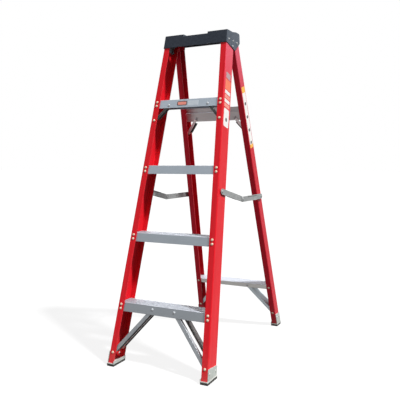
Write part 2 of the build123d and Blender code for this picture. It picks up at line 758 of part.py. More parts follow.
# Rear rail pivots, level along X
pivot_seat_x = front_web_x(pivot_along) + cap_fit + pivot_seat
pivot_nut_x = rear_web_x(rear_pivot_along) - rear_wall - pivot_nut_gap


def pivot_bolt():
    grip = pivot_seat_x - pivot_nut_x + pivot_nut_height + bolt_end
    return level_place * from_right(pivot_seat_x, pivot_y, pivot_z,
                                    stud(grip, pivot_head, bolt_head_rise, pivot_radius))


def pivot_nut():
    return level_place * nut_x(pivot_y, pivot_z, pivot_nut_across, pivot_radius + hole_clearance,
                               pivot_nut_x - pivot_nut_height, pivot_nut_x)


def pivot_spacer():
    ring = level_place * ring_x(pivot_y, pivot_z, pivot_spacer_radius, pivot_radius + hole_clearance,
                                pivot_nut_x, pivot_seat_x)
    ring = ring & rear_place * half_beyond(rear_lean_frame, pivot_spacer_gap)
    return ring - front_place * half_beyond(front_lean_frame, cap_fit)


# Spreaders, level along X: the front arm runs inside the rear arm
front_pin_y, front_pin_z = front_point(spreader_front_depth, spreader_front_along)
rear_pin_y, rear_pin_z = rear_point(rear_pivot_depth, spreader_rear_along)
span_y = rear_pin_y - front_pin_y
span_z = rear_pin_z - front_pin_z
span = hypot(span_y, span_z)
middle_y = front_pin_y + spreader_split * span_y + spreader_sag * span_z / span
middle_z = front_pin_z + spreader_split * span_z - spreader_sag * span_y / span
front_arm_x = front_web_x(spreader_front_along) + spreader_standoff
rear_arm_x = front_arm_x + arm_sheet + arm_gap


def spreader_arm(start, end, low, lip_low, lip_high):
    run = hypot(end[0] - start[0], end[1] - start[1])
    turn = degrees(atan2(end[1] - start[1], end[0] - start[0]))
    plane = Plane(origin=(low, 0, 0), x_dir=(0, 1, 0), z_dir=(1, 0, 0))
    arm = extrude(plane * Pos(run / 2, 0, 0) * SlotCenterToCenter(run, arm_height), arm_sheet, dir=(1, 0, 0))
    for side in (-1, 1):
        limits = sorted((side * arm_height / 2, side * (arm_height / 2 - arm_sheet)))
        arm += block(lip_low, lip_high, arm_lip_start, run - arm_lip_start, limits[0], limits[1])
    for place in (0, run):
        arm -= rod_x(place, 0, spreader_pin + hole_clearance, low - 1, low + arm_sheet + 1)
    return level_place * Pos(0, start[0], start[1]) * Rot(turn, 0, 0) * arm


def front_arm():
    return spreader_arm((front_pin_y, front_pin_z), (middle_y, middle_z), front_arm_x,
                        front_arm_x - arm_lip, front_arm_x + arm_sheet)


def rear_arm():
    return spreader_arm((rear_pin_y, rear_pin_z), (middle_y, middle_z), rear_arm_x,
                        rear_arm_x, rear_arm_x + arm_sheet + arm_lip)


def inner_stud():
    fastener = stud(arm_sheet + arm_gap / 3, spreader_head, spreader_head_rise, spreader_pin)
    return level_place * from_left(front_arm_x, middle_y, middle_z, fastener)


def outer_stud():
    fastener = stud(arm_sheet + arm_gap / 3, spreader_head, spreader_head_rise, spreader_pin)
    return level_place * from_right(rear_arm_x + arm_sheet, middle_y, middle_z, fastener)


def spreader_pivot_pin(y, z, head_x, web_inner_x):
    grip = head_x - web_inner_x + spreader_tail_gap
    fastener = rivet(grip, spreader_head, spreader_head_rise, spreader_pin, spreader_tail)
    return level_place * from_right(head_x, y, z, fastener)


def spreader_spacer(y, z, web_outer_x, arm_x, section):
    ring = ring_x(y, z, spreader_spacer_radius, spreader_pin + hole_clearance,
                  web_outer_x - spreader_standoff, arm_x - arm_side_gap)
    return level_place * ring & section


def front_spreader_pin():
    return spreader_pivot_pin(front_pin_y, front_pin_z, front_arm_x + arm_sheet + arm_side_gap,
                              front_web_x(spreader_front_along) - front_wall)


def rear_spreader_pin():
    return spreader_pivot_pin(rear_pin_y, rear_pin_z, rear_arm_x + arm_sheet + arm_side_gap,
                              rear_web_x(spreader_rear_along) - rear_wall)


def front_spreader_spacer():
    return spreader_spacer(front_pin_y, front_pin_z, front_web_x(spreader_front_along), front_arm_x,
                           front_place * half_beyond(front_lean_frame, 0))


def rear_spreader_spacer():
    return spreader_spacer(rear_pin_y, rear_pin_z, rear_web_x(spreader_rear_along), rear_arm_x,
                           rear_place * half_beyond(rear_lean_frame, 0))


# Every node, in its place on the floor
nodes = {}


def add_group(name, place, right_shapes):
    nodes[name] = Compound(children=[place * shape for shape in on_both_sides(right_shapes)])


def add_pair(name, right_shape):
    nodes[name + "_right"] = right_shape
    nodes[name + "_left"] = left_of(right_shape)


as_built = Pos(0, 0, 0)         # for shapes made in their final place
add_pair("front_rail", front_place * front_rail())
for name, top in zip(step_names, step_tops):
    front_extra = [front_brace_ends[0]] if top == step_tops[0] else []
    rear_extra = [back_brace_ends[0]] if top == step_tops[0] else []
    front_extra += [top_knee_ends[0]] if top == step_tops[-1] else []
    nodes[name] = front_place * step(top, front_extra, rear_extra)
add_group("step_front_rivets", front_place, step_front_rivets())
add_group("step_rear_rivets", front_place, step_rear_rivets())
add_pair("bottom_brace_front", front_place * bottom_front_brace())
add_pair("bottom_brace_rear", front_place * bottom_rear_brace())
add_group("bottom_brace_rivets", front_place, bottom_brace_rivets())
add_group("bottom_brace_washers", front_place, bottom_brace_washers())
add_pair("top_knee", front_place * top_knee())
add_group("top_knee_rivets", front_place, top_knee_rivets())
add_group("top_knee_washers", front_place, top_knee_washers())
nodes["cap"] = cap()
add_group("cap_bolts", front_place, cap_bolts())
add_group("cap_nuts", front_place, cap_nuts())
add_pair("cap_backing_plate", front_place * cap_backing_plate())
add_group("pivot_bolts", as_built, [pivot_bolt()])
add_group("pivot_nuts", as_built, [pivot_nut()])
add_group("pivot_spacers", as_built, [pivot_spacer()])
add_pair("front_shoe", shoe(front_place, front_lean_frame, front_base_width, front_rail_depth, front_wall,
                            front_shoe_tops, front_toe_y, front_heel_y))
add_pair("front_pad", pad(front_base_width, front_toe_y, front_heel_y))
add_group("front_shoe_rivets", front_place,
          shoe_rivets(front_lean_frame, front_rail_depth, front_wall, front_shoe_tops))
add_group("front_spreader_pins", as_built, [front_spreader_pin()])
add_group("front_spreader_spacers", as_built, [front_spreader_spacer()])
add_pair("rear_rail", rear_place * rear_rail())
nodes["rear_upper_bar"] = rear_place * upper_bar()
nodes["rear_lower_bar"] = rear_place * lower_bar()
add_group("rear_bar_rivets", rear_place, rear_bar_rivets())
add_pair("rear_knee", rear_place * rear_knee())
add_pair("rear_diagonal", rear_place * diagonal_brace())
add_group("rear_brace_rivets", rear_place, rear_brace_rivets())
add_group("rear_brace_washers", rear_place, rear_brace_washers())
add_pair("rear_shoe", shoe(rear_place, rear_lean_frame, rear_base_width, rear_rail_depth, rear_wall,
                           rear_shoe_tops, rear_toe_y, rear_heel_y))
add_pair("rear_pad", pad(rear_base_width, rear_toe_y, rear_heel_y))
add_group("rear_shoe_rivets", rear_place,
          shoe_rivets(rear_lean_frame, rear_rail_depth, rear_wall, rear_shoe_tops))
add_group("rear_spreader_pins", as_built, [rear_spreader_pin()])
add_group("rear_spreader_spacers", as_built, [rear_spreader_spacer()])
add_pair("spreader_front_arm", front_arm())
add_pair("spreader_rear_arm", rear_arm())
add_pair("spreader_inner_stud", inner_stud())
add_pair("spreader_outer_stud", outer_stud())

os.makedirs("parts", exist_ok=True)
for name, shape in nodes.items():
    export_step(shape, f"parts/{name}.step")

print("centre", centre_y, "rear foot", rear_foot_y - centre_y)
print("pivot", pivot_y - centre_y, pivot_z)
print("front pin", front_pin_y - centre_y, front_pin_z)
print("rear pin", rear_pin_y - centre_y, rear_pin_z)
print("middle rivet", middle_y - centre_y, middle_z)
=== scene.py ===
import json
from math import radians

import bmesh
import bpy
from mathutils import Matrix, Vector

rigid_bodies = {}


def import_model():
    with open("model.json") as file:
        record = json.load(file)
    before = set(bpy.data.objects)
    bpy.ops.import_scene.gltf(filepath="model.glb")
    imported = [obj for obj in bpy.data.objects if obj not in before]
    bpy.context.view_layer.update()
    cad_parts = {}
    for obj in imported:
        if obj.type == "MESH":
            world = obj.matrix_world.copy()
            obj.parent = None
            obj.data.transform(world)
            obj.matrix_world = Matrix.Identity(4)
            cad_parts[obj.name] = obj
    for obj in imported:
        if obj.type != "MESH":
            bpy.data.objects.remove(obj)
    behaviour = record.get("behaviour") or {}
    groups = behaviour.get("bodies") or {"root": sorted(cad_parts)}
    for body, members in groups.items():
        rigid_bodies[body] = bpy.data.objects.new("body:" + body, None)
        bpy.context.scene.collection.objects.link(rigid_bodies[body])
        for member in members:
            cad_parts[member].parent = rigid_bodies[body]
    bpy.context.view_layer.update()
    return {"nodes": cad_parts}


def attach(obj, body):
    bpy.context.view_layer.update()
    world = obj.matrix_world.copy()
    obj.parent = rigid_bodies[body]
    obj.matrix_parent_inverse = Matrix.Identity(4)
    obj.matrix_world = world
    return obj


for leftover in list(bpy.data.objects):
    bpy.data.objects.remove(leftover)

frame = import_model()
nodes = frame["nodes"]
print("frame loaded with", len(nodes), "CAD nodes")

# Places of the leaning rails, as the CAD has them, in metres and degrees
stance = {
    "centre": 0.4607524,
    "front": {"foot": 0.0, "slope": -14.3, "lean": 3.16, "half": 0.23775},
    "rear": {"foot": 0.868664, "slope": 16.65, "lean": 3.02, "half": 0.23175},
}


# Node helpers: a value is either a socket to link or a constant to set
def feed(tree, value, socket):
    if isinstance(value, bpy.types.NodeSocket):
        tree.links.new(value, socket)
    else:
        socket.default_value = value


def addNode(tree, kind, inputs=None, **settings):
    node = tree.nodes.new(kind)
    for key, value in settings.items():
        setattr(node, key, value)
    for key, value in (inputs or {}).items():
        feed(tree, value, node.inputs[key])
    return node


def objectCoords(tree):
    return addNode(tree, "ShaderNodeTexCoord").outputs["Object"]


def objectNormal(tree):
    return addNode(tree, "ShaderNodeTexCoord").outputs["Normal"]


def grainFrame(tree, vector, size, turn=(0, 0, 0)):     # size of one grain in metres, along the turned axes
    mapping = addNode(tree, "ShaderNodeMapping", {"Vector": vector}, vector_type="TEXTURE")
    mapping.inputs["Rotation"].default_value = [radians(angle) for angle in turn]
    mapping.inputs["Scale"].default_value = size
    return mapping.outputs["Vector"]


def noise(tree, vector, scale, detail=2.0, roughness=0.5):
    node = addNode(tree, "ShaderNodeTexNoise", {"Vector": vector, "Scale": scale, "Detail": detail,
                                                "Roughness": roughness})
    return node.outputs[0]


def remap(tree, value, low, high, toLow=0.0, toHigh=1.0):
    node = addNode(tree, "ShaderNodeMapRange", {"Value": value, "From Min": low, "From Max": high,
                                                "To Min": toLow, "To Max": toHigh})
    return node.outputs["Result"]


def spread(tree, share, ends):      # a share from 0 to 1, laid out between two ends
    return remap(tree, share, 0.0, 1.0, *ends)


def combine(tree, operation, first, second=0.0):
    node = tree.nodes.new("ShaderNodeMath")
    node.operation = operation
    feed(tree, first, node.inputs[0])
    feed(tree, second, node.inputs[1])
    return node.outputs[0]


def mixColour(tree, factor, first, second, blend="MIX"):
    node = tree.nodes.new("ShaderNodeMix")
    node.data_type = "RGBA"
    node.blend_type = blend
    feed(tree, factor, node.inputs[0])
    feed(tree, first, node.inputs[6])
    feed(tree, second, node.inputs[7])
    return node.outputs[2]


def axisOf(tree, vector, axis):
    return addNode(tree, "ShaderNodeSeparateXYZ", {"Vector": vector}).outputs[axis]


# Shared effects, each built once as a node group
noiseSpan = (0.3, 0.7)      # where most values of a noise lie
streakScale = {"fine": 1.0, "broad": 0.22}      # noise cells per grain
specksPerGrain = 0.12
edgeWear = {
    "samples": 6,
    "turned": (0.995, 0.86),      # agreement of the softened and the flat normal, from whole to worn
    "patchesPerMetre": 70.0, "patches": (0.38, 0.62),
}
dustPatches = {"perMetre": 28.0, "span": (0.35, 0.7)}


def newGroup(name, inputs, outputs):
    group = bpy.data.node_groups.new(name, "ShaderNodeTree")
    for label, kind, value in inputs:
        socket = group.interface.new_socket(label, in_out="INPUT", socket_type=kind)
        if value is not None:
            socket.default_value = value
    for label in outputs:
        kind = "NodeSocketVector" if label == "Normal" else "NodeSocketFloat"
        group.interface.new_socket(label, in_out="OUTPUT", socket_type=kind)
    entry = group.nodes.new("NodeGroupInput").outputs
    leave = group.nodes.new("NodeGroupOutput").inputs
    return group, entry, leave


def makeStreaks():      # long grain along the longest axis of the framed coordinates, with soft clouds
    group, entry, leave = newGroup("streaks", [("Vector", "NodeSocketVector", None)],
                                   ["Streak", "Cloud", "Height"])
    fine = noise(group, entry["Vector"], streakScale["fine"], detail=4.0, roughness=0.62)
    broad = noise(group, entry["Vector"], streakScale["broad"])
    feed(group, remap(group, fine, *noiseSpan), leave["Streak"])
    feed(group, remap(group, broad, *noiseSpan), leave["Cloud"])
    feed(group, fine, leave["Height"])
    return group


def makeMouldGrain():   # fine pebbled skin of moulded plastic and rubber
    group, entry, leave = newGroup("mouldGrain", [("Vector", "NodeSocketVector", None),
                                                  ("Grain Size", "NodeSocketFloat", 0.001)],
                                   ["Speck", "Height"])
    perMetre = combine(group, "DIVIDE", 1.0, entry["Grain Size"])
    cells = addNode(group, "ShaderNodeTexVoronoi", {"Vector": entry["Vector"], "Scale": perMetre})
    specks = combine(group, "MULTIPLY", perMetre, specksPerGrain)
    soft = noise(group, entry["Vector"], specks, detail=3.0)
    feed(group, remap(group, soft, *noiseSpan), leave["Speck"])
    feed(group, cells.outputs["Distance"], leave["Height"])
    return group


def makeEdgeTone():     # softened edges: where they wear, and which way the softened surface looks
    group, entry, leave = newGroup("edgeTone", [("Vector", "NodeSocketVector", None),
                                                ("Radius", "NodeSocketFloat", 0.001),
                                                ("Amount", "NodeSocketFloat", 1.0)],
                                   ["Worn", "Facing", "Normal"])
    rounded = addNode(group, "ShaderNodeBevel", {"Radius": entry["Radius"]},
                      samples=edgeWear["samples"]).outputs[0]
    flat = addNode(group, "ShaderNodeNewGeometry").outputs["Normal"]
    agree = addNode(group, "ShaderNodeVectorMath", {0: rounded, 1: flat}, operation="DOT_PRODUCT")
    edge = remap(group, agree.outputs["Value"], *edgeWear["turned"])
    patches = noise(group, entry["Vector"], edgeWear["patchesPerMetre"], detail=4.0, roughness=0.6)
    worn = combine(group, "MULTIPLY", edge, remap(group, patches, *edgeWear["patches"]))
    feed(group, combine(group, "MULTIPLY", worn, entry["Amount"]), leave["Worn"])
    local = addNode(group, "ShaderNodeVectorTransform", {"Vector": rounded}, vector_type="NORMAL",
                    convert_from="WORLD", convert_to="OBJECT").outputs[0]
    feed(group, axisOf(group, local, "Z"), leave["Facing"])
    feed(group, rounded, leave["Normal"])
    return group


def makeFloorDust():    # dust that thins out with height above the floor
    group, entry, leave = newGroup("floorDust", [("Vector", "NodeSocketVector", None),
                                                 ("Reach", "NodeSocketFloat", 0.2),
                                                 ("Amount", "NodeSocketFloat", 0.5)], ["Mask"])
    height = axisOf(group, entry["Vector"], "Z")
    near = combine(group, "SUBTRACT", 1.0, combine(group, "DIVIDE", height, entry["Reach"]))
    near = remap(group, near, 0.0, 1.0)
    patches = noise(group, entry["Vector"], dustPatches["perMetre"], detail=5.0, roughness=0.65)
    patchy = remap(group, patches, *dustPatches["span"])
    feed(group, combine(group, "MULTIPLY", combine(group, "MULTIPLY", near, patchy), entry["Amount"]),
         leave["Mask"])
    return group


streaks = makeStreaks()
mouldGrain = makeMouldGrain()
edgeTone = makeEdgeTone()
floorDust = makeFloorDust()


def useGroup(tree, group, inputs):
    node = tree.nodes.new("ShaderNodeGroup")
    node.node_tree = group
    for key, value in inputs.items():
        feed(tree, value, node.inputs[key])
    return node.outputs


def edgesOf(tree, coords, finish):
    return useGroup(tree, edgeTone, {"Vector": coords, "Radius": finish["edgeRadius"],
                                     "Amount": finish["edgeAmount"]})


def dustOf(tree, coords, finish):
    return useGroup(tree, floorDust, {"Vector": coords, "Reach": finish["dustReach"],
                                      "Amount": finish["dustAmount"]})["Mask"]


def newFinish(name, **constants):
    material = bpy.data.materials.new(name)
    material.use_nodes = True
    tree = material.node_tree
    shader = tree.nodes["Principled BSDF"]
    for key, value in constants.items():
        shader.inputs[key.replace("_", " ")].default_value = value
    return material, tree, shader


def setBump(tree, shader, finish, height, normal=None):
    bump = addNode(tree, "ShaderNodeBump", {"Height": height, "Strength": finish["bump"],
                                            "Distance": finish["bumpDepth"]})
    if normal:
        feed(tree, normal, bump.inputs["Normal"])
    feed(tree, bump.outputs["Normal"], shader.inputs["Normal"])


# Finishes: pairs are the two ends of a range, lengths are in metres
railFinish = {
    "red": (0.740, 0.0140, 0.0240, 1), "deepRed": (0.650, 0.0095, 0.0175, 1),
    # painted shade: the rear rails take a darker copy of the same rail red
    "shadedRearRed": (0.575, 0.0125, 0.0300, 1), "shadedRearDeepRed": (0.500, 0.0090, 0.0230, 1),
    "grain": (0.0030, 0.0030, 0.30),
    "fibre": (0.780, 0.026, 0.036, 1), "fibreFrom": 0.60, "fibreShare": 0.40,
    "skySheen": (0.740, 0.150, 0.225, 1),     # painted sheen: upper ends of the outer webs painted paler, a painted reflection of the sky
    "sheenFrom": 1.10, "sheenTo": 1.40, "sheenShare": 0.6,
    "outerWeb": (0.05, 0.12),     # X times the normal's X, which is high only on the outer webs
    "worn": (0.800, 0.120, 0.125, 1), "edgeRadius": 0.0016, "edgeAmount": 0.12,
    "dust": (0.420, 0.300, 0.270, 1), "dustReach": 0.16, "dustAmount": 0.22, "dustRough": 0.3,
    "roughness": (0.34, 0.46), "coat": (0.0, 0.04),
    "bump": 0.16, "bumpDepth": 0.0004,
}


def makeRailRed(name, red, deepRed, slope):
    finish = railFinish
    material, tree, shader = newFinish(name, Specular_IOR_Level=0.09, Coat_Roughness=0.25)
    coords = objectCoords(tree)
    fibre = useGroup(tree, streaks, {"Vector": grainFrame(tree, coords, finish["grain"], (slope, 0, 0))})
    colour = mixColour(tree, fibre["Cloud"], finish[deepRed], finish[red])
    strand = remap(tree, fibre["Streak"], finish["fibreFrom"], 1.0, 0.0, finish["fibreShare"])
    colour = mixColour(tree, strand, colour, finish["fibre"])
    edge = edgesOf(tree, coords, finish)
    # painted sheen: the outer webs turn paler towards their upper ends
    outward = combine(tree, "MULTIPLY", axisOf(tree, coords, "X"), axisOf(tree, edge["Normal"], "X"))
    upper = remap(tree, axisOf(tree, coords, "Z"), finish["sheenFrom"], finish["sheenTo"],
                  0.0, finish["sheenShare"])
    sheen = combine(tree, "MULTIPLY", remap(tree, outward, *finish["outerWeb"]), upper)
    colour = mixColour(tree, sheen, colour, finish["skySheen"])
    colour = mixColour(tree, edge["Worn"], colour, finish["worn"])
    dust = dustOf(tree, coords, finish)
    colour = mixColour(tree, dust, colour, finish["dust"])
    feed(tree, colour, shader.inputs["Base Color"])
    rough = spread(tree, fibre["Streak"], finish["roughness"])
    dustRough = combine(tree, "MULTIPLY", dust, finish["dustRough"])
    feed(tree, combine(tree, "ADD", rough, dustRough), shader.inputs["Roughness"])
    feed(tree, spread(tree, fibre["Cloud"], finish["coat"]), shader.inputs["Coat Weight"])
    setBump(tree, shader, finish, fibre["Height"], edge["Normal"])
    return material


metalFinish = {
    "lowWall": (0.228, 0.247, 0.268, 1), "highWall": (0.360, 0.414, 0.474, 1),
    "lowBar": (0.570, 0.560, 0.540, 1), "highBar": (0.505, 0.488, 0.485, 1),
    "lowAt": 0.20, "highAt": 1.13,     # heights of the low and the high tone
    # painted light: faces turned up take a lighter, bluer colour, as if lit by the sky above
    "tread": (0.500, 0.535, 0.602, 1), "upward": (0.40, 0.80),
    # painted light: faces turned down are painted lighter than the walls, standing in for light from below
    "under": (0.520, 0.540, 0.560, 1), "downward": (-0.45, -0.90),
    "grain": (0.30, 0.0016, 0.0016),
    "marked": (0.82, 0.82, 0.82, 1),     # how far drawing lines and blotches darken the metal
    "lineShare": (0.7, 0.0), "treadMarks": (1.0, 0.5),
    "blotchesPerMetre": 16.0, "blotches": (0.35, 0.70), "blotchShare": 0.5, "blotchRough": 0.1,
    "worn": (0.760, 0.780, 0.820, 1), "edgeRadius": 0.0010, "edgeAmount": 0.35,
    "dust": (0.360, 0.335, 0.300, 1), "dustReach": 0.30, "dustAmount": 0.20,
    "metallic": (0.40, 0.12),     # walls, treads
    "roughness": (0.42, 0.54),
    "bump": 0.12, "bumpDepth": 0.0003,
}


def makeDrawnMetal(name, low, high):
    finish = metalFinish
    material, tree, shader = newFinish(name, Specular_IOR_Level=0.45)
    coords = objectCoords(tree)
    lines = useGroup(tree, streaks, {"Vector": grainFrame(tree, coords, finish["grain"])})
    raised = remap(tree, axisOf(tree, coords, "Z"), finish["lowAt"], finish["highAt"])
    wall = mixColour(tree, raised, finish[low], finish[high])
    edge = edgesOf(tree, coords, finish)
    # painted light: faces turned up are painted lighter
    upward = remap(tree, edge["Facing"], *finish["upward"])
    colour = mixColour(tree, upward, wall, finish["tread"])
    # painted light: faces turned down take the lighter underside colour
    colour = mixColour(tree, remap(tree, edge["Facing"], *finish["downward"]), colour, finish["under"])
    blotch = noise(tree, coords, finish["blotchesPerMetre"], detail=4.0, roughness=0.6)
    blotch = remap(tree, blotch, *finish["blotches"], 0.0, finish["blotchShare"])
    marks = combine(tree, "MAXIMUM", spread(tree, lines["Streak"], finish["lineShare"]), blotch)
    marks = combine(tree, "MULTIPLY", marks, spread(tree, upward, finish["treadMarks"]))
    colour = mixColour(tree, marks, colour, finish["marked"], "MULTIPLY")
    worn = combine(tree, "MULTIPLY", edge["Worn"], combine(tree, "SUBTRACT", 1.0, upward))
    colour = mixColour(tree, worn, colour, finish["worn"])
    colour = mixColour(tree, dustOf(tree, coords, finish), colour, finish["dust"])
    feed(tree, colour, shader.inputs["Base Color"])
    feed(tree, spread(tree, upward, finish["metallic"]), shader.inputs["Metallic"])
    rough = spread(tree, lines["Streak"], finish["roughness"])
    blotchRough = combine(tree, "MULTIPLY", blotch, finish["blotchRough"])
    feed(tree, combine(tree, "ADD", rough, blotchRough), shader.inputs["Roughness"])
    setBump(tree, shader, finish, lines["Height"], edge["Normal"])
    return material


# Each kind's colour for faces turned up is painted light where it is lighter than the kind's own colours,
# and painted shade where it is darker
sheetKinds = {
    "brace": {"light": (0.270, 0.288, 0.305, 1), "dark": (0.200, 0.216, 0.232, 1),
              "ledge": (0.450, 0.475, 0.500, 1), "spangle": 0.010, "metallic": 0.40, "roughness": 0.42},
    # painted light: the rear braces take a lighter copy of the brace metal, making up for the shade they sit
    # in; their up-facing colour is painted shade
    "litBackBrace": {"light": (0.700, 0.680, 0.650, 1), "dark": (0.580, 0.560, 0.540, 1),
                  "ledge": (0.400, 0.395, 0.385, 1), "spangle": 0.010, "metallic": 0.30, "roughness": 0.44},
    # painted shade: the top knees take a near-black copy of the brace metal, for the shade under the top
    # step
    "shadedTopKnee": {"light": (0.046, 0.050, 0.050, 1), "dark": (0.026, 0.028, 0.028, 1),
                "ledge": (0.560, 0.620, 0.600, 1), "spangle": 0.010, "metallic": 0.30, "roughness": 0.50},
    # painted light: the rear knees take a lighter copy of the brace metal, making up for the shade they sit
    # in; their up-facing colour is painted shade
    "litRearKnee": {"light": (0.820, 0.780, 0.775, 1), "dark": (0.700, 0.660, 0.660, 1),
                 "ledge": (0.240, 0.230, 0.230, 1), "spangle": 0.010, "metallic": 0.30, "roughness": 0.46},
    "diagonal": {"light": (0.500, 0.560, 0.590, 1), "dark": (0.400, 0.450, 0.480, 1),
                 "ledge": (0.520, 0.590, 0.630, 1), "spangle": 0.010, "metallic": 0.40, "roughness": 0.42},
    "plate": {"light": (0.115, 0.122, 0.128, 1), "dark": (0.070, 0.075, 0.080, 1),
              "ledge": (0.140, 0.145, 0.150, 1), "spangle": 0.010, "metallic": 0.40, "roughness": 0.46},
    "zinc": {"light": (0.340, 0.350, 0.350, 1), "dark": (0.240, 0.250, 0.250, 1),
             "ledge": (0.380, 0.390, 0.390, 1), "spangle": 0.007, "metallic": 0.40, "roughness": 0.46},
    # painted highlight: the shoe's colour for faces turned up is a near-white highlight on the sole
    "shoe": {"light": (0.520, 0.560, 0.525, 1), "dark": (0.420, 0.455, 0.425, 1),
             "ledge": (0.760, 0.740, 0.720, 1), "spangle": 0.014, "metallic": 0.25, "roughness": 0.48},
}
sheetFinish = {     # what all kinds of sheet metal share
    "spangleShare": 0.45, "cloudShare": 0.55, "cloudsPerMetre": 22.0,
    "upward": (0.35, 0.60),
    # painted shade: faces turned down are darkened nearly to black
    "under": (0.040, 0.036, 0.036, 1), "downward": (-0.34, -0.54), "underRough": 0.4,
    "worn": (0.760, 0.780, 0.800, 1), "edgeRadius": 0.0009, "edgeAmount": 0.5,
    "dust": (0.340, 0.300, 0.260, 1), "dustReach": 0.14, "dustAmount": 0.35,
    "darkRougher": 0.10, "lightSmoother": 0.06,
    "bump": 0.05, "bumpDepth": 0.0004,
}


def makeSheetMetal(name, kindName):
    kind, finish = sheetKinds[kindName], sheetFinish
    material, tree, shader = newFinish(name, Metallic=kind["metallic"], Specular_IOR_Level=0.30)
    coords = objectCoords(tree)
    cells = addNode(tree, "ShaderNodeTexVoronoi", {"Vector": coords, "Scale": 1.0 / kind["spangle"]})
    shade = addNode(tree, "ShaderNodeSeparateColor", {"Color": cells.outputs["Color"]}).outputs[0]
    cloud = noise(tree, coords, finish["cloudsPerMetre"], detail=4.0, roughness=0.6)
    cloud = remap(tree, cloud, *noiseSpan)
    tone = combine(tree, "ADD", combine(tree, "MULTIPLY", shade, finish["spangleShare"]),
                   combine(tree, "MULTIPLY", cloud, finish["cloudShare"]))
    colour = mixColour(tree, tone, kind["dark"], kind["light"])
    edge = edgesOf(tree, coords, finish)
    # painted light and shade: faces turned up take the kind's up-facing colour
    colour = mixColour(tree, remap(tree, edge["Facing"], *finish["upward"]), colour, kind["ledge"])
    # painted shade: the more a face turns down, the darker it is painted
    under = remap(tree, edge["Facing"], *finish["downward"])
    colour = mixColour(tree, under, colour, finish["under"])
    colour = mixColour(tree, edge["Worn"], colour, finish["worn"])
    colour = mixColour(tree, dustOf(tree, coords, finish), colour, finish["dust"])
    feed(tree, colour, shader.inputs["Base Color"])
    rough = spread(tree, tone, (kind["roughness"] + finish["darkRougher"],
                                kind["roughness"] - finish["lightSmoother"]))
    underRough = combine(tree, "MULTIPLY", under, finish["underRough"])
    feed(tree, combine(tree, "ADD", rough, underRough), shader.inputs["Roughness"])
    setBump(tree, shader, finish, cloud, edge["Normal"])
    return material


rivetFinish = {
    "cream": (0.800, 0.610, 0.480, 1), "creamDark": (0.640, 0.470, 0.360, 1),
    "cloudsPerMetre": 260.0,
    "grey": (0.480, 0.510, 0.540, 1), "greyWithin": 0.125,     # rivets nearer the middle are bare aluminium
    # painted shade with some grime: rivet heads darken to brown on their lower side and at their rim
    "shadeAndGrime": (0.085, 0.030, 0.022, 1), "shadeFacing": (-0.05, -0.60), "shadeShare": 0.8,
    "edgeRadius": 0.0013, "edgeAmount": 0.8,
    "roughness": (0.44, 0.32),
    "bump": 0.06, "bumpDepth": 0.0002,
}


def makeRivetMetal(name):
    finish = rivetFinish
    material, tree, shader = newFinish(name, Metallic=0.15, Specular_IOR_Level=0.25)
    coords = objectCoords(tree)
    cloud = remap(tree, noise(tree, coords, finish["cloudsPerMetre"], detail=3.0), *noiseSpan)
    colour = mixColour(tree, cloud, finish["creamDark"], finish["cream"])
    aside = combine(tree, "ABSOLUTE", axisOf(tree, coords, "X"))
    colour = mixColour(tree, combine(tree, "LESS_THAN", aside, finish["greyWithin"]), colour, finish["grey"])
    edge = edgesOf(tree, coords, finish)
    # painted shade: the lower side of each rivet head is darkened
    shadeAndGrime = remap(tree, edge["Facing"], *finish["shadeFacing"], 0.0, finish["shadeShare"])
    colour = mixColour(tree, shadeAndGrime, colour, finish["shadeAndGrime"])
    # painted contact shadow with some grime: the rim of each rivet head is darkened
    colour = mixColour(tree, edge["Worn"], colour, finish["shadeAndGrime"])
    feed(tree, colour, shader.inputs["Base Color"])
    feed(tree, spread(tree, cloud, finish["roughness"]), shader.inputs["Roughness"])
    setBump(tree, shader, finish, cloud, edge["Normal"])
    return material


capFinish = {
    "slate": (0.0200, 0.0250, 0.0360, 1), "slateLight": (0.0340, 0.0410, 0.0560, 1),
    "grainSize": 0.0014,
    "endSheen": (0.1400, 0.1650, 0.2000, 1), "cheek": (0.60, 0.95),     # painted sheen: faces that look sideways are painted lighter in patches
    "endSheenPerMetre": 34.0, "endSheenPatches": (0.25, 0.75), "endSheenShare": (0.35, 0.75),
    "scuff": (0.3000, 0.3300, 0.3700, 1), "edgeRadius": 0.0022, "edgeAmount": 0.6,
    "roughness": (0.50, 0.66),
    "bump": 0.25, "bumpDepth": 0.0003,
}


def makeCapPlastic(name):
    finish = capFinish
    material, tree, shader = newFinish(name, Specular_IOR_Level=0.12)
    coords = objectCoords(tree)
    grain = useGroup(tree, mouldGrain, {"Vector": coords, "Grain Size": finish["grainSize"]})
    colour = mixColour(tree, grain["Speck"], finish["slate"], finish["slateLight"])
    # painted sheen: sideways faces are lighter in patches
    sideways = combine(tree, "ABSOLUTE", axisOf(tree, objectNormal(tree), "X"))
    cheek = remap(tree, sideways, *finish["cheek"])
    patchy = noise(tree, coords, finish["endSheenPerMetre"], detail=4.0, roughness=0.6)
    patchy = remap(tree, patchy, *finish["endSheenPatches"], *finish["endSheenShare"])
    colour = mixColour(tree, combine(tree, "MULTIPLY", cheek, patchy), colour, finish["endSheen"])
    edge = edgesOf(tree, coords, finish)
    colour = mixColour(tree, edge["Worn"], colour, finish["scuff"])
    feed(tree, colour, shader.inputs["Base Color"])
    feed(tree, spread(tree, grain["Speck"], finish["roughness"]), shader.inputs["Roughness"])
    setBump(tree, shader, finish, grain["Height"], edge["Normal"])
    return material


rubberFinish = {
    "black": (0.0180, 0.0180, 0.0180, 1), "grey": (0.0420, 0.0400, 0.0380, 1),
    "grainSize": 0.0009,
    "dust": (0.2600, 0.2350, 0.2100, 1), "dustReach": 0.010, "dustAmount": 0.5,
    "roughness": (0.70, 0.88),
    "bump": 0.30, "bumpDepth": 0.0003,
}


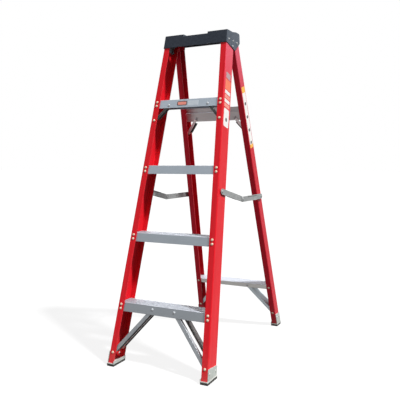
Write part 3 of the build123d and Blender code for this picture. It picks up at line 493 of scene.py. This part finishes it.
def makeRubber(name):
    finish = rubberFinish
    material, tree, shader = newFinish(name, Specular_IOR_Level=0.25)
    coords = objectCoords(tree)
    grain = useGroup(tree, mouldGrain, {"Vector": coords, "Grain Size": finish["grainSize"]})
    colour = mixColour(tree, grain["Speck"], finish["black"], finish["grey"])
    colour = mixColour(tree, dustOf(tree, coords, finish), colour, finish["dust"])
    feed(tree, colour, shader.inputs["Base Color"])
    feed(tree, spread(tree, grain["Speck"], finish["roughness"]), shader.inputs["Roughness"])
    setBump(tree, shader, finish, grain["Height"])
    return material


frontRailRed = makeRailRed("frontRailRed", "red", "deepRed", stance["front"]["slope"])
shadedRearRailRed = makeRailRed("shadedRearRailRed", "shadedRearRed", "shadedRearDeepRed", stance["rear"]["slope"])
stepMetal = makeDrawnMetal("stepMetal", "lowWall", "highWall")
rearBarMetal = makeDrawnMetal("rearBarMetal", "lowBar", "highBar")
braceMetal = makeSheetMetal("braceMetal", "brace")
litBackBraceMetal = makeSheetMetal("litBackBraceMetal", "litBackBrace")
shadedTopKneeMetal = makeSheetMetal("shadedTopKneeMetal", "shadedTopKnee")
litRearKneeMetal = makeSheetMetal("litRearKneeMetal", "litRearKnee")
diagonalMetal = makeSheetMetal("diagonalMetal", "diagonal")
plateMetal = makeSheetMetal("plateMetal", "plate")
zincSteel = makeSheetMetal("zincSteel", "zinc")
shoeMetal = makeSheetMetal("shoeMetal", "shoe")
rivetMetal = makeRivetMetal("rivetMetal")
capPlastic = makeCapPlastic("capPlastic")
padRubber = makeRubber("padRubber")
print("finishes made:", len(bpy.data.materials))

# Which finish each CAD node takes, by the first of these words that is in its name
finishByWord = [("front_rail", frontRailRed), ("rear_rail", shadedRearRailRed), ("shoe_rivets", shoeMetal),
                ("rivets", rivetMetal), ("washers", rivetMetal), ("_step", stepMetal),
                ("upper_bar", rearBarMetal), ("lower_bar", rearBarMetal), ("brace_rear", litBackBraceMetal),
                ("brace", braceMetal), ("top_knee", shadedTopKneeMetal), ("rear_knee", litRearKneeMetal),
                ("diagonal", diagonalMetal), ("shoe", shoeMetal), ("pad", padRubber),
                ("cap_bolts", zincSteel), ("cap_nuts", plateMetal), ("backing_plate", plateMetal),
                ("cap", capPlastic), ("pivot", zincSteel), ("spreader", zincSteel)]
for name, node in nodes.items():
    finish = next(material for word, material in finishByWord if word in name)
    node.data.materials.clear()
    node.data.materials.append(finish)
print("finishes given to the CAD nodes")


def railSide(section):      # X along the web's depth, Y up the rail, Z out of the right web
    rail = stance[section]
    web = Matrix(((0, 0, 1, 0), (1, 0, 0, 0), (0, 1, 0, 0), (0, 0, 0, 1)))
    return (Matrix.Translation((0, rail["foot"] - stance["centre"], 0))
            @ Matrix.Rotation(radians(rail["slope"]), 4, "X") @ Matrix.Translation((rail["half"], 0, 0))
            @ Matrix.Rotation(radians(-rail["lean"]), 4, "Y") @ web)


def stepFront(depth):       # X to the right, Y up the rail, Z out of the step's front wall
    rail = stance["front"]
    wall = Matrix(((1, 0, 0, 0), (0, 0, -1, depth), (0, 1, 0, 0), (0, 0, 0, 1)))
    return (Matrix.Translation((0, rail["foot"] - stance["centre"], 0))
            @ Matrix.Rotation(radians(rail["slope"]), 4, "X") @ wall)


# Plain label films: each ink has its own colour and a faded one
labelFinish = {
    "orange": ((0.820, 0.140, 0.045, 1), (0.860, 0.260, 0.150, 1)),
    "white": ((0.860, 0.850, 0.830, 1), (0.760, 0.730, 0.700, 1)),
    "salmon": ((0.820, 0.240, 0.180, 1), (0.860, 0.400, 0.330, 1)),
    "grey": ((0.420, 0.280, 0.290, 1), (0.520, 0.330, 0.340, 1)),
    "dark": ((0.045, 0.042, 0.045, 1), (0.110, 0.100, 0.100, 1)),
    "yellow": ((0.900, 0.430, 0.020, 1), (0.900, 0.550, 0.120, 1)),
    "silver": ((0.560, 0.620, 0.680, 1), (0.500, 0.560, 0.620, 1)),
}
labelSheet = {
    "thickness": 0.00025, "cornerSegments": 6,
    "fadesPerMetre": 45.0, "fades": (0.30, 0.75), "fadeShare": 0.6,
    "scratch": (0.0015, 0.03, 0.0012), "scratchTurn": (25, 0, 0),
    "scratches": (0.66, 0.74), "scratchShare": 0.35,
    "roughness": (0.32, 0.48),
    "bump": 0.08, "bumpDepth": 0.0002,
}


def makeFilm(name, ink, faded):       # sun-faded ink with fine scratches
    finish = labelSheet
    material, tree, shader = newFinish(name, Specular_IOR_Level=0.35)
    coords = objectCoords(tree)
    fade = noise(tree, coords, finish["fadesPerMetre"], detail=5.0, roughness=0.65)
    fade = remap(tree, fade, *finish["fades"])
    slanted = grainFrame(tree, coords, finish["scratch"], finish["scratchTurn"])
    scratch = noise(tree, slanted, 1.0, detail=3.0)
    scratch = remap(tree, scratch, *finish["scratches"], 0.0, finish["scratchShare"])
    colour = mixColour(tree, combine(tree, "MULTIPLY", fade, finish["fadeShare"]), ink, faded)
    colour = mixColour(tree, scratch, colour, faded)
    feed(tree, colour, shader.inputs["Base Color"])
    feed(tree, spread(tree, fade, finish["roughness"]), shader.inputs["Roughness"])
    setBump(tree, shader, finish, scratch)
    return material


inks = {name: makeFilm(name + "Film", *pair) for name, pair in labelFinish.items()}


def labelFilm(name, place, middle, size, corner, layer, ink, body):
    film = bmesh.new()
    bmesh.ops.create_grid(film, x_segments=1, y_segments=1, size=0.5)
    bmesh.ops.scale(film, vec=(size[0], size[1], 1), verts=film.verts)
    bmesh.ops.bevel(film, geom=film.verts[:], offset=corner, segments=labelSheet["cornerSegments"],
                    profile=0.5, affect="VERTICES", material=-1)
    raised = bmesh.ops.extrude_face_region(film, geom=film.faces[:])["geom"]
    bmesh.ops.translate(film, vec=(0, 0, labelSheet["thickness"]),
                        verts=[part for part in raised if isinstance(part, bmesh.types.BMVert)])
    bmesh.ops.recalc_face_normals(film, faces=film.faces)
    bmesh.ops.translate(film, vec=(middle[0], middle[1], layer * labelSheet["thickness"]), verts=film.verts)
    bmesh.ops.transform(film, matrix=place, verts=film.verts)
    mesh = bpy.data.meshes.new(name)
    film.to_mesh(mesh)
    film.free()
    mesh.materials.append(inks[ink])
    piece = bpy.data.objects.new(name, mesh)
    bpy.context.scene.collection.objects.link(piece)
    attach(piece, body)


frontLabel = {
    "depth": 0.040,
    "parts": [      # name, ink, middle's height up the rail, width, height, corner, layer
        ("tag", "grey", 1.298, 0.046, 0.028, 0.004, 0),
        ("block", "orange", 1.256, 0.054, 0.046, 0.003, 0),
        ("barA", "white", 1.221, 0.054, 0.016, 0.002, 0),
        ("barB", "salmon", 1.201, 0.054, 0.016, 0.002, 0),
        ("barC", "white", 1.181, 0.054, 0.016, 0.002, 0),
        ("barD", "salmon", 1.161, 0.054, 0.016, 0.002, 0),
        ("panel", "white", 1.106, 0.054, 0.082, 0.010, 0),
        ("spot", "dark", 1.098, 0.018, 0.018, 0.0089, 1),
    ],
}
for part, ink, along, width, height, corner, layer in frontLabel["parts"]:
    labelFilm("frontLabel_" + part, railSide("front"), (frontLabel["depth"], along),
              (width, height), corner, layer, ink, "front_section")

rearLabel = {
    "depth": 0.0255, "width": 0.036, "corner": 0.001,
    "parts": [      # name, ink, lower and upper end up the rail
        ("lowCap", "yellow", 0.977, 0.994),
        ("strip", "white", 0.994, 1.242),
        ("highCap", "yellow", 1.242, 1.270),
    ],
    "spots": [1.003, 1.064, 1.127, 1.190], "spotSize": (0.019, 0.014), "spotCorner": 0.0069,
}
for part, ink, low, high in rearLabel["parts"]:
    labelFilm("rearLabel_" + part, railSide("rear"), (rearLabel["depth"], (low + high) / 2),
              (rearLabel["width"], high - low), rearLabel["corner"],
              0, ink, "rear_section")
for index, along in enumerate(rearLabel["spots"]):
    labelFilm("rearLabel_spot%d" % index, railSide("rear"), (rearLabel["depth"], along),
              rearLabel["spotSize"], rearLabel["spotCorner"],
              1, "dark", "rear_section")

stepLabel = {
    "wall": 0.0045,     # the step's front wall, behind the front of the rails
    "along": 1.1697,
    "parts": [      # name, ink, middle across the step, width, height, corner, layer
        ("border", "dark", -0.030, 0.050, 0.021, 0.006, 0),
        ("field", "salmon", -0.030, 0.042, 0.014, 0.004, 1),
        ("blank", "silver", 0.0255, 0.054, 0.022, 0.002, 0),
    ],
}
for part, ink, across, width, height, corner, layer in stepLabel["parts"]:
    labelFilm("stepLabel_" + part, stepFront(stepLabel["wall"]), (across, stepLabel["along"]),
              (width, height), corner, layer, ink, "front_section")
print("labels laid on the rails and the top step")

# Floor, light and camera
studio = {
    "lamps": [      # name, where it shines from, strength, angle
        ("keyLamp", (0.55, -0.085, 0.80), 4.7, 5.0),
        ("fillLamp", (-0.15, -0.90, 0.30), 0.6, 60.0),
        ("backLamp", (-0.60, 0.70, 0.45), 1.0, 40.0),
    ],
    "skyLevel": 0.17,
    "white": (1, 1, 1, 1),
    "floorHalf": 60, "floorGrey": (0.14, 0.14, 0.14, 1), "floorGlow": 0.85,
}


def sunLamp(name, source, strength, angle):
    lamp = bpy.data.lights.new(name, "SUN")
    lamp.energy = strength
    lamp.angle = radians(angle)
    holder = bpy.data.objects.new(name, lamp)
    holder.rotation_mode = "QUATERNION"
    holder.rotation_quaternion = (-Vector(source)).to_track_quat("-Z", "Y")
    bpy.context.scene.collection.objects.link(holder)


def seenByCamera(tree):     # 1 for camera, glossy and transmission rays, which see a white studio
    path = addNode(tree, "ShaderNodeLightPath")
    seen = combine(tree, "MAXIMUM", path.outputs["Is Camera Ray"], path.outputs["Is Glossy Ray"])
    return combine(tree, "MAXIMUM", seen, path.outputs["Is Transmission Ray"])


for lampValues in studio["lamps"]:
    sunLamp(*lampValues)

world = bpy.data.worlds.new("studioWorld")
world.use_nodes = True
bpy.context.scene.world = world
sky = world.node_tree
glow = sky.nodes["Background"]
glow.inputs["Color"].default_value = studio["white"]
feed(sky, spread(sky, seenByCamera(sky), (studio["skyLevel"], 1.0)), glow.inputs["Strength"])

floorMesh = bpy.data.meshes.new("studioFloor")
ground = bmesh.new()
bmesh.ops.create_grid(ground, x_segments=1, y_segments=1, size=studio["floorHalf"])
ground.to_mesh(floorMesh)
ground.free()
floor = bpy.data.objects.new("studioFloor", floorMesh)
bpy.context.scene.collection.objects.link(floor)
floorPaint, tree, shader = newFinish("floorPaint", Roughness=0.9, Specular_IOR_Level=0.0)
shader.inputs["Base Color"].default_value = studio["floorGrey"]
shader.inputs["Emission Color"].default_value = studio["white"]
glowing = combine(tree, "MULTIPLY", seenByCamera(tree), studio["floorGlow"])
feed(tree, glowing, shader.inputs["Emission Strength"])
floorMesh.materials.append(floorPaint)

photoCamera = {
    "place": (1.1235, -2.29065, 0.8590), "turn": 26.62, "tilt": -3.77,
    "lens": 48.26, "sensor": 36,     # millimetres
}
lensData = bpy.data.cameras.new("photoCamera")
lensData.sensor_width = photoCamera["sensor"]
lensData.lens = photoCamera["lens"]
viewer = bpy.data.objects.new("photoCamera", lensData)
viewer.location = photoCamera["place"]
viewer.rotation_euler = (radians(90 + photoCamera["tilt"]), 0, radians(photoCamera["turn"]))
bpy.context.scene.collection.objects.link(viewer)
bpy.context.scene.camera = viewer
bpy.context.scene.view_settings.view_transform = "Standard"
print("studio set up")
